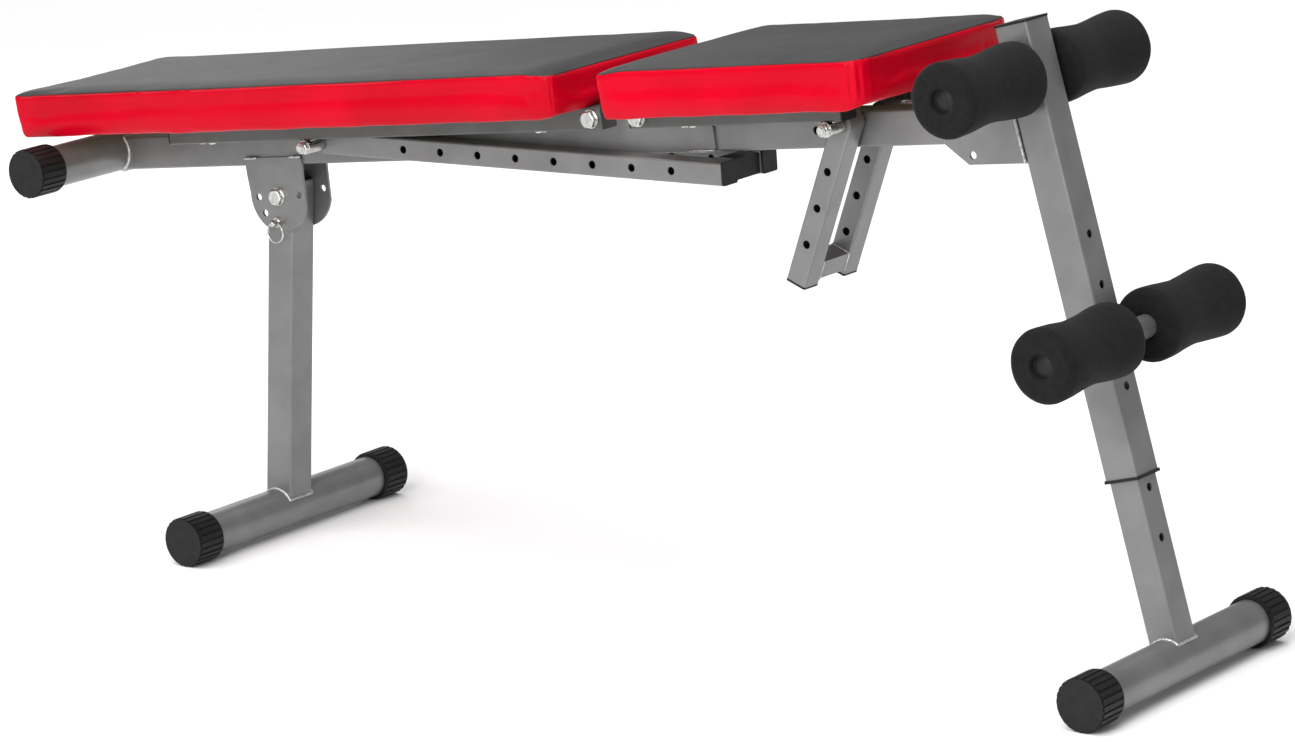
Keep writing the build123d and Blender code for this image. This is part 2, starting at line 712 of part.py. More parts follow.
down = Rot(0, 90, 0)
for name, frame, length, first, pitch, count, cross in (
        ("back", back_strut_frame, back_strut_length, back_hole_first, back_hole_pitch, back_hole_count,
         (536.0, 561.0)),
        ("seat", seat_strut_frame * down, seat_strut_length, seat_hole_first, seat_hole_pitch,
         seat_hole_count, (160.0, 180.0))):
    for side_name, side in (("left", 1), ("right", -1)):
        add(name + "_strut_" + side_name, frame * strut_tube(side, length, first, pitch, count))
    add(name + "_strut_crossbar", frame * strut_crossbar(cross[0], cross[1], 23.0))
    add(name + "_strut_plugs", Compound([frame * plug for plug in strut_plugs(length)]))


# ---------------------------------------------------------------- one STEP file per sub-part
if __name__ == "__main__":
    os.makedirs("parts", exist_ok=True)
    for node, shape in nodes.items():
        export_step(shape, "parts/" + node + ".step")
    print(len(nodes), "nodes")
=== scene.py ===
import math
import json

import bmesh
import bpy
from mathutils import Matrix, Vector, noise


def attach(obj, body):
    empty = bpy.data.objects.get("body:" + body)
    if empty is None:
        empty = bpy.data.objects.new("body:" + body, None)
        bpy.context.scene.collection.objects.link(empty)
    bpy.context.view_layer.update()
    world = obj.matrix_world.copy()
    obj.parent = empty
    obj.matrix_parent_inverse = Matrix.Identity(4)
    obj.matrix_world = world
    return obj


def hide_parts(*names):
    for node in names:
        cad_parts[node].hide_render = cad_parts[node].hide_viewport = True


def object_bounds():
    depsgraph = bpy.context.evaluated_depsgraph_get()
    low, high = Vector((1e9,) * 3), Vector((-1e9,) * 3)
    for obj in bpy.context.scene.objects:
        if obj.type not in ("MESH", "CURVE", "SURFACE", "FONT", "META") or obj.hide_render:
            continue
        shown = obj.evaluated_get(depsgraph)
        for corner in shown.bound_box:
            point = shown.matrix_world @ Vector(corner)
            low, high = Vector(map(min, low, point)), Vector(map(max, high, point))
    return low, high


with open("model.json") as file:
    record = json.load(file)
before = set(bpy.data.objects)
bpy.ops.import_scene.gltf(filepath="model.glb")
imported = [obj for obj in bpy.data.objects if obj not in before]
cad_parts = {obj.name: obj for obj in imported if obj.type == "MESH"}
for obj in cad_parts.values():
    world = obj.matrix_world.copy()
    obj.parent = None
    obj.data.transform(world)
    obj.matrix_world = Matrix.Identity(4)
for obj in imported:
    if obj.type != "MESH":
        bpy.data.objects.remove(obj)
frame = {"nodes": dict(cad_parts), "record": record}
cad_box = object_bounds()
NODES = frame["nodes"]
MM = 0.001

# ---------------------------------------------------------------- places, in metres
HALF_LENGTH = cad_box[1].x
FRONT_FOOT_X = HALF_LENGTH - 1.2399
CAP_R = 0.0285
BEAM_HEIGHT = 0.4544
BEAM_TILT = math.radians(6.33)
POST_TILT = math.radians(14.53)
LEG_LEAN = math.radians(5.59)
WHEELBASE = 1.2114
PAD_BOTTOM = 0.0423
PAD_THICKNESS = 0.0465
SEAM_HEIGHT = PAD_BOTTOM + PAD_THICKNESS - 0.0005

BEAM = Matrix.Translation((FRONT_FOOT_X, 0, BEAM_HEIGHT)) @ Matrix.Rotation(-BEAM_TILT, 4, "Y")
POST = Matrix.Translation((FRONT_FOOT_X + WHEELBASE, 0, CAP_R)) @ Matrix.Rotation(-POST_TILT, 4, "Y")
LEG = Matrix.Translation((FRONT_FOOT_X, 0, CAP_R)) @ Matrix.Rotation(LEG_LEAN, 4, "Y")


# ---------------------------------------------------------------- camera, light and floor
def studio():
    """The camera, soft lights, a pale floor and a light room."""
    scene = bpy.context.scene
    cam = bpy.data.objects.new("camera", bpy.data.cameras.new("camera"))
    scene.collection.objects.link(cam)
    scene.camera = cam
    cam.data.sensor_width = 36.0
    cam.data.lens = 136.6
    cam.data.clip_end = 60
    turn, pitch, roll = 0.6743, 0.2434, -0.0495
    right = Vector((math.cos(turn), math.sin(turn), 0))
    look = Vector((-math.sin(turn) * math.cos(pitch), math.cos(turn) * math.cos(pitch), -math.sin(pitch)))
    up = right.cross(look)
    side = math.cos(roll) * right + math.sin(roll) * up
    top = math.cos(roll) * up - math.sin(roll) * right
    cam.matrix_world = Matrix.Translation((3.7766 + FRONT_FOOT_X, -4.04527, 1.53803)) @ Matrix(
        (side, top, -look)).transposed().to_4x4()

    scene.view_settings.view_transform = "Standard"
    for name, place, aim, size, power in (
            ("key_light", (0.9, -2.8, 1.5), (0.2, 0, 0.35), 1.2, 52),
            ("fill_light", (3.4, -0.4, 1.2), (0.2, 0, 0.35), 1.2, 4),
            ("top_light", (0.4, 0.6, 2.8), (-0.1, 0, 0.3), 2.0, 24),
            ("back_light", (-2.6, 1.6, 1.5), (-0.2, 0, 0.35), 1.4, 12)):
        lamp = bpy.data.objects.new(name, bpy.data.lights.new(name, "AREA"))
        scene.collection.objects.link(lamp)
        lamp.data.size = size
        lamp.data.energy = power
        lamp.location = place
        lamp.rotation_mode = "QUATERNION"
        lamp.rotation_quaternion = (Vector(aim) - Vector(place)).to_track_quat("-Z", "Y")

    sun = bpy.data.objects.new("wide_light", bpy.data.lights.new("wide_light", "SUN"))
    scene.collection.objects.link(sun)
    sun.data.energy = 2.7
    sun.data.angle = 1.2
    sun.rotation_euler = (0.45, -0.25, 0.3)

    world = bpy.data.worlds.new("room")
    scene.world = world
    world.use_nodes = True
    world.node_tree.nodes["Background"].inputs["Color"].default_value = (1.0, 1.0, 1.0, 1)
    world.node_tree.nodes["Background"].inputs["Strength"].default_value = 0.33

    mesh = bpy.data.meshes.new("floor")
    mesh.from_pydata([(-90, -90, 0), (90, -90, 0), (90, 90, 0), (-90, 90, 0)], [], [(0, 1, 2, 3)])
    floor = bpy.data.objects.new("floor", mesh)
    scene.collection.objects.link(floor)
    paint = Finish("floor_paint")
    paint.colour((0.88, 0.88, 0.88), (0.90, 0.90, 0.90), 3.0)
    paint.set("Roughness", 0.8)
    paint.set("Specular IOR Level", 0.15)
    mesh.materials.append(paint.material)


# ---------------------------------------------------------------- finishes
class Finish:
    """A procedural material, built up one feature at a time."""

    def __init__(self, name, turn=0.0):
        self.material = bpy.data.materials.new(name)
        self.material.use_nodes = True
        self.nodes = self.material.node_tree.nodes
        self.links = self.material.node_tree.links
        self.shader = self.nodes["Principled BSDF"]
        coords = self.nodes.new("ShaderNodeTexCoord")
        self.where = self.nodes.new("ShaderNodeMapping")
        self.where.inputs["Rotation"].default_value = (0, turn, 0)
        self.links.new(coords.outputs["Object"], self.where.inputs["Vector"])
        self.bump = None

    def set(self, socket, value):
        """A value that is the same all over."""
        self.shader.inputs[socket].default_value = value

    def noise(self, scale, detail=3.0, stretch=(1, 1, 1)):
        """A cloud pattern, in cycles per metre."""
        pattern = self.nodes.new("ShaderNodeTexNoise")
        pattern.inputs["Scale"].default_value = scale
        pattern.inputs["Detail"].default_value = detail
        source = self.where.outputs["Vector"]
        if stretch != (1, 1, 1):
            pull = self.nodes.new("ShaderNodeMapping")
            pull.inputs["Scale"].default_value = stretch
            self.links.new(source, pull.inputs["Vector"])
            source = pull.outputs["Vector"]
        self.links.new(source, pattern.inputs["Vector"])
        return pattern.outputs["Fac"]

    def cells(self, scale, feature="DISTANCE_TO_EDGE"):
        """A net of small cells, as in leather grain or foam."""
        pattern = self.nodes.new("ShaderNodeTexVoronoi")
        pattern.feature = feature
        pattern.inputs["Scale"].default_value = scale
        self.links.new(self.where.outputs["Vector"], pattern.inputs["Vector"])
        return pattern.outputs["Distance"]

    def ramp(self, source, low, high, stops=(0.35, 0.65)):
        """Two colours, blended by a pattern."""
        ramp = self.nodes.new("ShaderNodeValToRGB")
        ramp.color_ramp.elements[0].position = stops[0]
        ramp.color_ramp.elements[1].position = stops[1]
        ramp.color_ramp.elements[0].color = (*low, 1)
        ramp.color_ramp.elements[1].color = (*high, 1)
        self.links.new(source, ramp.inputs["Fac"])
        return ramp.outputs["Color"]

    def colour(self, low, high, scale, detail=3.0, stretch=(1, 1, 1)):
        """A base colour that drifts between two near shades."""
        shades = self.ramp(self.noise(scale, detail, stretch), low, high)
        self.links.new(shades, self.shader.inputs["Base Color"])

    def roughness(self, low, high, scale, stretch=(1, 1, 1)):
        """A roughness that drifts between two values."""
        span = self.nodes.new("ShaderNodeMapRange")
        span.inputs["To Min"].default_value = low
        span.inputs["To Max"].default_value = high
        self.links.new(self.noise(scale, 2.0, stretch), span.inputs["Value"])
        self.links.new(span.outputs["Result"], self.shader.inputs["Roughness"])

    def relief(self, source, depth, strength=1.0):
        """Fine relief, depth in metres; a second call adds to the first."""
        bump = self.nodes.new("ShaderNodeBump")
        bump.inputs["Distance"].default_value = depth
        bump.inputs["Strength"].default_value = strength
        self.links.new(source, bump.inputs["Height"])
        if self.bump:
            self.links.new(self.bump.outputs["Normal"], bump.inputs["Normal"])
        self.links.new(bump.outputs["Normal"], self.shader.inputs["Normal"])
        self.bump = bump


def powder_coat(name, low, high, metallic=0.55, rough=(0.34, 0.44)):
    """Satin powder coat with a faint orange peel and metallic flecks."""
    paint = Finish(name)
    paint.colour(low, high, 26, 6.0)
    paint.roughness(*rough, 40)
    paint.set("Metallic", metallic)
    paint.relief(paint.noise(420, 3.0), 0.00035, 0.30)
    paint.relief(paint.noise(2600, 1.0), 0.00010, 0.22)
    paint.set("Coat Weight", 0.12)
    paint.set("Coat Roughness", 0.25)
    return paint.material


def moulded_black(name):
    """Black moulded plastic with a fine spark-eroded grain."""
    plastic = Finish(name)
    plastic.colour((0.006, 0.006, 0.0062), (0.010, 0.010, 0.0104), 90, 4.0)
    plastic.roughness(0.42, 0.58, 60)
    plastic.relief(plastic.noise(1500, 4.0), 0.0003, 0.35)
    plastic.set("Specular IOR Level", 0.24)
    return plastic.material


def bright_zinc(name, low=(0.46, 0.46, 0.45), high=(0.66, 0.66, 0.64)):
    """Bright zinc plate, a little cloudy, with turned marks."""
    metal = Finish(name)
    metal.colour(low, high, 240, 5.0)
    metal.roughness(0.20, 0.34, 500)
    metal.set("Metallic", 1.0)
    metal.relief(metal.noise(1400, 2.0, (1, 8, 1)), 0.0001, 0.30)
    return metal.material


def weld_painted_highlight(name):
    """Weld metal under paint, its tone mottled at random and painted much lighter than the paint around it
    as a painted highlight.
    """
    metal = Finish(name)
    metal.colour((0.30, 0.30, 0.30), (0.58, 0.58, 0.57), 300, 4.0)
    metal.roughness(0.24, 0.45, 380)
    metal.set("Metallic", 0.85)
    metal.relief(metal.noise(900, 3.0), 0.0003, 0.4)
    return metal.material


def raw_plywood(name):
    """Birch ply, its grain along the board."""
    wood = Finish(name, -BEAM_TILT)
    wood.colour((0.30, 0.20, 0.115), (0.46, 0.33, 0.20), 14, 8.0, (0.6, 9, 14))
    wood.roughness(0.55, 0.75, 60, (1, 10, 10))
    wood.relief(wood.noise(60, 6.0, (0.5, 12, 12)), 0.0006, 0.4)
    return wood.material


def vinyl(name, low, high, rough, grain_scale, grain, coat, gloss):
    """Upholstery vinyl: a net of leather grain over slow waves."""
    skin = Finish(name, -BEAM_TILT)
    skin.colour(low, high, 9, 5.0)
    skin.roughness(*rough, 30)
    skin.relief(skin.noise(35, 2.0), 0.0012, 0.25)
    skin.relief(skin.cells(grain_scale), 0.0004, grain)
    skin.relief(skin.noise(grain_scale * 2.4, 3.0), 0.0002, grain * 0.6)
    skin.set("Specular IOR Level", gloss)
    skin.set("Coat Weight", coat)
    skin.set("Coat Roughness", 0.22)
    return skin.material


def roller_foam(name):
    """Closed-cell foam skin: matt, with pinholes and a dry bloom."""
    foam = Finish(name)
    foam.colour((0.0055, 0.0055, 0.0057), (0.0085, 0.0085, 0.0088), 160, 8.0)
    foam.roughness(0.84, 0.98, 50)
    foam.relief(foam.noise(90, 4.0), 0.0005, 0.20)
    foam.relief(foam.cells(1300, "F1"), 0.0004, 0.45)
    foam.set("Specular IOR Level", 0.16)
    foam.set("Sheen Weight", 0.03)
    foam.set("Sheen Roughness", 0.5)
    return foam.material


def thread_wrap(name):
    """Dark welt cord and stitching, twisted finely."""
    cord = Finish(name)
    cord.colour((0.012, 0.010, 0.010), (0.040, 0.030, 0.030), 500, 3.0)
    cord.roughness(0.55, 0.75, 200)
    cord.relief(cord.noise(1800, 2.0), 0.0003, 0.5)
    return cord.material


def glossy_welt(name):
    """The thin red welt strip below the seam."""
    strip = Finish(name)
    strip.colour((0.40, 0.0, 0.008), (0.52, 0.0, 0.012), 60, 3.0)
    strip.roughness(0.24, 0.38, 90)
    strip.relief(strip.noise(700, 2.0), 0.0002, 0.3)
    return strip.material


def nylon_ring(name):
    """The nylon collar in a lock nut."""
    nylon = Finish(name)
    nylon.colour((0.55, 0.57, 0.60), (0.70, 0.72, 0.74), 200, 2.0)
    nylon.roughness(0.35, 0.5, 90)
    return nylon.material


studio()
SILVER = powder_coat("silver_powder_coat", (0.175, 0.175, 0.174), (0.205, 0.205, 0.203))
# The struts: the frame's silver coat, painted a touch lighter as painted light on the struts' lit faces.
LIT_STRUT_COAT = powder_coat("strut_coat_painted_light", (0.180, 0.180, 0.179), (0.210, 0.210, 0.208))
# The rails: the frame's grey coat with a slight green cast, painted much darker as painted shade for the
# shadow under the pads.
SHADED_RAIL_COAT = powder_coat("rail_coat_painted_shade", (0.072, 0.075, 0.073), (0.092, 0.095, 0.093), 0.45)
AXLE = powder_coat("axle_powder_coat", (0.20, 0.20, 0.20), (0.24, 0.24, 0.24), 0.6, (0.30, 0.42))
BLACK = moulded_black("moulded_black_plastic")
ZINC = bright_zinc("bright_zinc")
BUSH = bright_zinc("bush_steel", (0.34, 0.34, 0.33), (0.48, 0.48, 0.47))
# Weld beads: mottled metal painted much lighter than the frame's coat as a painted highlight.
WELD_PAINTED_HIGHLIGHT = weld_painted_highlight("weld_painted_highlight")
PLY = raw_plywood("raw_plywood")
TOP_VINYL = vinyl("black_vinyl_top", (0.036, 0.036, 0.037), (0.045, 0.045, 0.046),
                  (0.50, 0.58), 620, 0.5, 0.0, 0.20)
RED_VINYL = vinyl("red_vinyl_side", (0.43, 0.0, 0.009), (0.52, 0.0, 0.013),
                  (0.26, 0.34), 420, 0.12, 0.0, 0.08)
FOAM = roller_foam("roller_foam_skin")
SEAM = thread_wrap("seam_thread")
WELT = glossy_welt("red_welt")
NYLON = nylon_ring("nylon_insert")

SLOT_FINISH = {"silver_paint": SILVER, "strut_paint": LIT_STRUT_COAT, "rail_paint": SHADED_RAIL_COAT, "axle_paint": AXLE,
               "black_plastic": BLACK, "plywood": PLY, "pad_vinyl": RED_VINYL, "roller_foam": FOAM,
               "bush_steel": BUSH, "zinc": ZINC}
for part in frame["record"]["subparts"]:
    for place in NODES[part["node"]].material_slots:
        place.material = SLOT_FINISH[part["material_slot"]]


# ---------------------------------------------------------------- mesh helpers
def new_object(name, mesh, *materials):
    """A finished mesh as an object at the origin."""
    piece = bpy.data.objects.new(name, mesh)
    bpy.context.scene.collection.objects.link(piece)
    for material in materials:
        mesh.materials.append(material)
    return piece


def from_bmesh(name, bm, *materials, smooth=True):
    """A bmesh as an object."""
    mesh = bpy.data.meshes.new(name)
    bm.to_mesh(mesh)
    bm.free()
    if smooth:
        mesh.shade_smooth()
    return new_object(name, mesh, *materials)


def settled(piece):
    """The piece with its modifiers made plain mesh."""
    graph = bpy.context.evaluated_depsgraph_get()
    mesh = bpy.data.meshes.new_from_object(piece.evaluated_get(graph))
    piece.modifiers.clear()
    old = piece.data
    piece.data = mesh
    mesh.name = piece.name
    if old.users == 0:
        bpy.data.meshes.remove(old)
    return piece


# ---------------------------------------------------------------- repeated details, as node trees
def new_tree(name, inputs):
    """An empty geometry tree with named number inputs."""
    tree = bpy.data.node_groups.new(name, "GeometryNodeTree")
    tree.interface.new_socket("Geometry", in_out="INPUT", socket_type="NodeSocketGeometry")
    tree.interface.new_socket("Geometry", in_out="OUTPUT", socket_type="NodeSocketGeometry")
    for label, value in inputs:
        socket = tree.interface.new_socket(label, in_out="INPUT", socket_type="NodeSocketFloat")
        socket.default_value = value
    return tree, tree.nodes.new("NodeGroupInput"), tree.nodes.new("NodeGroupOutput")


def chain(tree, source, target, socket, out=0):
    """Links an output of one node to a named input of the next."""
    tree.links.new(source.outputs[out], target.inputs[socket])


def finish_tree(tree, last, out, material):
    """Every tree ends in real geometry with its material set."""
    real = tree.nodes.new("GeometryNodeRealizeInstances")
    paint = tree.nodes.new("GeometryNodeSetMaterial")
    paint.inputs["Material"].default_value = material
    chain(tree, last, real, "Geometry")
    chain(tree, real, paint, "Geometry")
    chain(tree, paint, out, "Geometry")


def weld_tree():
    """Overlapping flattened drops along a path: a weld bead with ripples."""
    tree, start, out = new_tree("weld_bead", (("Width", 0.0042), ("Pitch", 0.0016), ("Unevenness", 0.18)))
    to_curve = tree.nodes.new("GeometryNodeMeshToCurve")
    even = tree.nodes.new("GeometryNodeResampleCurve")
    even.mode = "LENGTH"
    drops = tree.nodes.new("GeometryNodeInstanceOnPoints")
    ball = tree.nodes.new("GeometryNodeMeshIcoSphere")
    ball.inputs["Subdivisions"].default_value = 2
    half = tree.nodes.new("ShaderNodeMath")
    half.operation = "MULTIPLY"
    half.inputs[1].default_value = 0.5
    spread = tree.nodes.new("FunctionNodeRandomValue")
    spread.inputs["Seed"].default_value = 7
    low = tree.nodes.new("ShaderNodeMath")
    low.operation = "SUBTRACT"
    low.inputs[0].default_value = 1.0
    chain(tree, start, to_curve, "Mesh")
    chain(tree, to_curve, even, "Curve")
    tree.links.new(start.outputs["Pitch"], even.inputs["Length"])
    tree.links.new(start.outputs["Width"], half.inputs[0])
    chain(tree, half, ball, "Radius")
    chain(tree, even, drops, "Points")
    tree.links.new(ball.outputs["Mesh"], drops.inputs["Instance"])
    tree.links.new(start.outputs["Unevenness"], low.inputs[1])
    tree.links.new(low.outputs[0], spread.inputs[2])
    spread.inputs[3].default_value = 1.0
    tree.links.new(spread.outputs[1], drops.inputs["Scale"])
    # The beads take the weld finish with its painted highlight.
    finish_tree(tree, drops, out, WELD_PAINTED_HIGHLIGHT)
    return tree


def ridge_tree():
    """Thread ridges: thin rings spaced along a straight path."""
    tree, start, out = new_tree("thread_ridges", (("Radius", 0.005), ("Pitch", 0.00125), ("Depth", 0.00035)))
    to_curve = tree.nodes.new("GeometryNodeMeshToCurve")
    even = tree.nodes.new("GeometryNodeResampleCurve")
    even.mode = "LENGTH"
    rings = tree.nodes.new("GeometryNodeInstanceOnPoints")
    circle = tree.nodes.new("GeometryNodeCurvePrimitiveCircle")
    circle.inputs["Resolution"].default_value = 28
    wire = tree.nodes.new("GeometryNodeCurvePrimitiveCircle")
    wire.inputs["Resolution"].default_value = 4
    sweep = tree.nodes.new("GeometryNodeCurveToMesh")
    tangent = tree.nodes.new("GeometryNodeInputTangent")
    align = tree.nodes.new("FunctionNodeAlignRotationToVector")
    align.axis = "Z"
    chain(tree, start, to_curve, "Mesh")
    chain(tree, to_curve, even, "Curve")
    tree.links.new(start.outputs["Pitch"], even.inputs["Length"])
    tree.links.new(start.outputs["Radius"], circle.inputs["Radius"])
    tree.links.new(start.outputs["Depth"], wire.inputs["Radius"])
    tree.links.new(circle.outputs["Curve"], sweep.inputs["Curve"])
    tree.links.new(wire.outputs["Curve"], sweep.inputs["Profile Curve"])
    chain(tree, even, rings, "Points")
    chain(tree, sweep, rings, "Instance")
    tree.links.new(tangent.outputs[0], align.inputs["Vector"])
    tree.links.new(align.outputs[0], rings.inputs["Rotation"])
    finish_tree(tree, rings, out, ZINC)
    return tree


def staple_tree():
    """Staple crowns spaced along the edge of a board's underside."""
    tree, start, out = new_tree("staples", (("Length", 0.010), ("Wire", 0.0011), ("Pitch", 0.028)))
    to_curve = tree.nodes.new("GeometryNodeMeshToCurve")
    even = tree.nodes.new("GeometryNodeResampleCurve")
    even.mode = "LENGTH"
    crowns = tree.nodes.new("GeometryNodeInstanceOnPoints")
    bar = tree.nodes.new("GeometryNodeMeshCube")
    size = tree.nodes.new("ShaderNodeCombineXYZ")
    tangent = tree.nodes.new("GeometryNodeInputTangent")
    align = tree.nodes.new("FunctionNodeAlignRotationToVector")
    align.axis = "X"
    chain(tree, start, to_curve, "Mesh")
    chain(tree, to_curve, even, "Curve")
    tree.links.new(start.outputs["Pitch"], even.inputs["Length"])
    tree.links.new(start.outputs["Length"], size.inputs["X"])
    tree.links.new(start.outputs["Wire"], size.inputs["Y"])
    tree.links.new(start.outputs["Wire"], size.inputs["Z"])
    tree.links.new(size.outputs[0], bar.inputs["Size"])
    chain(tree, even, crowns, "Points")
    chain(tree, bar, crowns, "Instance")
    tree.links.new(tangent.outputs[0], align.inputs["Vector"])
    tree.links.new(align.outputs[0], crowns.inputs["Rotation"])
    finish_tree(tree, crowns, out, ZINC)
    return tree


def along_paths(name, tree, body, paths, slot, **sizes):
    """Runs a tree along point lists and settles the result as one piece on a body."""
    mesh = bpy.data.meshes.new(name)
    points = []
    edges = []
    for path in paths:
        first = len(points)
        points += [tuple(p) for p in path]
        edges += [(first + k, first + k + 1) for k in range(len(path) - 1)]
    mesh.from_pydata(points, edges, [])
    piece = new_object(name, mesh)
    grow = piece.modifiers.new("tree", "NODES")
    grow.node_group = tree
    for item in tree.interface.items_tree:
        if item.item_type == "SOCKET" and item.in_out == "INPUT" and item.name in sizes:
            grow[item.identifier] = sizes[item.name]
    settled(piece)
    piece.data.shade_smooth()
    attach(piece, body)


def line(matrix, *points):
    """A list of places given in a member's own frame, millimetres in, metres out."""
    return [matrix @ (Vector(p) * MM) for p in points]


def saddle_path(matrix, radius, half, low=None):
    """The closed path where a square tube meets a round one along Y."""
    path = []
    corners = ((-half, -half), (half, -half), (half, half), (-half, half), (-half, -half))
    for (x0, y0), (x1, y1) in zip(corners, corners[1:]):
        for k in range(10):
            x = x0 + (x1 - x0) * k / 10
            y = y0 + (y1 - y0) * k / 10
            path.append((x, y, math.sqrt(radius * radius - x * x)))
    path.append(path[0])
    return line(matrix, *path)


BEADS = weld_tree()
RIDGES = ridge_tree()
STAPLES = staple_tree()


def head_bar_weld():
    """Round the end of the beam, where it meets the head crossbar."""
    path = []
    corners = ((19, 19), (19, -19), (-19, -19), (-19, 19), (19, 19))
    for (y0, z0), (y1, z1) in zip(corners, corners[1:]):
        for k in range(10):
            y = y0 + (y1 - y0) * k / 10
            z = z0 + (z1 - z0) * k / 10
            path.append((-222.5 + math.sqrt(24.3 ** 2 - (z - 3.8) ** 2), y, z))
    path.append(path[0])
    return line(BEAM, *path)


along_paths("head_bar_weld_bead", BEADS, "frame", [head_bar_weld()], "silver_paint",
            Width=0.0062, Pitch=0.0021)
frame_welds = []
for side in (1, -1):
    frame_welds.append(line(BEAM, (-12, side * 22.2, -9.6), (4, side * 22.2, -9.6)))
    frame_welds.append(line(BEAM, (58, side * 22.2, -9.6), (72, side * 22.2, -9.6)))
    frame_welds.append(line(BEAM, (488, side * 22.2, -17), (520, side * 22.2, -17)))
    frame_welds.append(line(BEAM, (636, side * 22.2, -17), (668, side * 22.2, -17)))
    frame_welds.append(line(POST, (-21.5, side * 20.6, 527), (-21.5, side * 20.6, 603)))
    frame_welds.append(line(BEAM, (966, side * 19.8, -17), (966, side * 19.8, 13)))
frame_welds.append(line(POST, (-21.2, -19, 526.2), (-21.2, 19, 526.2)))
along_paths("frame_welds", BEADS, "frame", frame_welds, "silver_paint")
along_paths("front_leg_weld", BEADS, "front_leg", [saddle_path(LEG, 24.2, 18.9)], "silver_paint")
along_paths("rear_leg_weld", BEADS, "rear_leg", [saddle_path(POST, 24.2, 17.7)], "silver_paint")

DOWN = Matrix.Rotation(math.pi / 2, 4, "Y")
BACK_STRUT = BEAM @ Matrix.Translation((0.132, 0, 0.0093))
SEAT_STRUT = BEAM @ Matrix.Translation((0.857, 0, 0.0093))
STRUTS = {
    "back": (BACK_STRUT @ Matrix.Rotation(math.radians(4.92), 4, "Y"), 536, 561),
    "seat": (SEAT_STRUT @ Matrix.Rotation(math.radians(27.3), 4, "Y") @ DOWN, 160, 180),
}
for name, (place, near, far) in STRUTS.items():
    beads = []
    for side in (1, -1):
        beads.append(line(place, (near, side * 22.4, -11.5), (near, side * 22.4, 11.5)))
        beads.append(line(place, (near, side * 22.4, 11.6), (far, side * 22.4, 11.6)))
        beads.append(line(place, (near, side * 22.4, -11.6), (far, side * 22.4, -11.6)))
    along_paths(name + "_strut_welds", BEADS, name + "_strut", beads, "strut_paint",
                Width=0.0024, Pitch=0.001)

for name, strut_u, dots in (("back", 132, (-30, 476)), ("seat", 857, (670,))):
    body = "backrest" if name == "back" else "seat"
    beads = []
    for side in (1, -1):
        for u in dots:
            beads.append(line(BEAM, (u, side * 72.2, 17.6), (u + 7, side * 72.2, 17.6)))
        beads.append(line(BEAM, (strut_u - 8.4, side * 50.5, 16.6), (strut_u - 8.4, side * 71, 16.6)))
        beads.append(line(BEAM, (strut_u + 8.4, side * 50.5, 16.6), (strut_u + 8.4, side * 71, 16.6)))
    along_paths(name + "_rail_welds", BEADS, body, beads, "rail_paint", Width=0.0026, Pitch=0.0011)


def collars(name, body, places, bore, outer, face):
    """Nylon rings in the mouths of lock nuts."""
    bm = bmesh.new()
    for place, sign in places:
        rings = []
        for r, y in ((outer, 0.0), (outer - 0.5, 0.35), (bore + 0.5, 0.35), (bore + 0.05, 0.0)):
            ring = []
            for k in range(32):
                a = 2 * math.pi * k / 32
                ring.append(bm.verts.new(place @ Vector((r * MM * math.cos(a), sign * (face + y) * MM,
                                                         r * MM * math.sin(a)))))
            rings.append(ring)
        for k in range(32):
            for a, b in zip(rings, rings[1:] + rings[:1]):
                bm.faces.new((a[k], a[(k + 1) % 32], b[(k + 1) % 32], b[k]))
    bmesh.ops.recalc_face_normals(bm, faces=bm.faces)
    piece = from_bmesh(name, bm, NYLON)
    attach(piece, body)


BACK_PIVOT = BEAM @ Matrix.Translation((0.549, 0, 0.0295))
SEAT_PIVOT = BEAM @ Matrix.Translation((0.613, 0, 0.0295))
LEG_PIVOT = LEG @ Matrix.Translation((0, 0, 0.3767))
collars("frame_nut_collars", "frame", ((BACK_PIVOT, 1), (SEAT_PIVOT, 1)), 5.0, 7.0, 83.05)
collars("leg_nut_collar", "frame", ((LEG_PIVOT, 1),), 5.0, 7.0, 31.6)
collars("back_strut_collars", "backrest", ((BACK_STRUT, 1), (BACK_STRUT, -1)), 4.0, 5.5, 82.3)
collars("seat_strut_collars", "seat", ((SEAT_STRUT, 1), (SEAT_STRUT, -1)), 4.0, 5.5, 82.3)

along_paths("frame_bolt_threads", RIDGES, "frame",
            [line(BACK_PIVOT, (0, 83.6, 0), (0, 85.9, 0)), line(SEAT_PIVOT, (0, 83.6, 0), (0, 85.9, 0)),
             line(LEG_PIVOT, (0, 32.2, 0), (0, 34.4, 0))], "zinc", Radius=0.00495, Pitch=0.0009)
for name, place, body in (("back", BACK_STRUT, "backrest"), ("seat", SEAT_STRUT, "seat")):
    tips = [line(place, (0, side * 82.8, 0), (0, side * 84.2, 0)) for side in (1, -1)]
    along_paths(name + "_bolt_threads", RIDGES, body, tips, "zinc", Radius=0.00395, Pitch=0.0008)


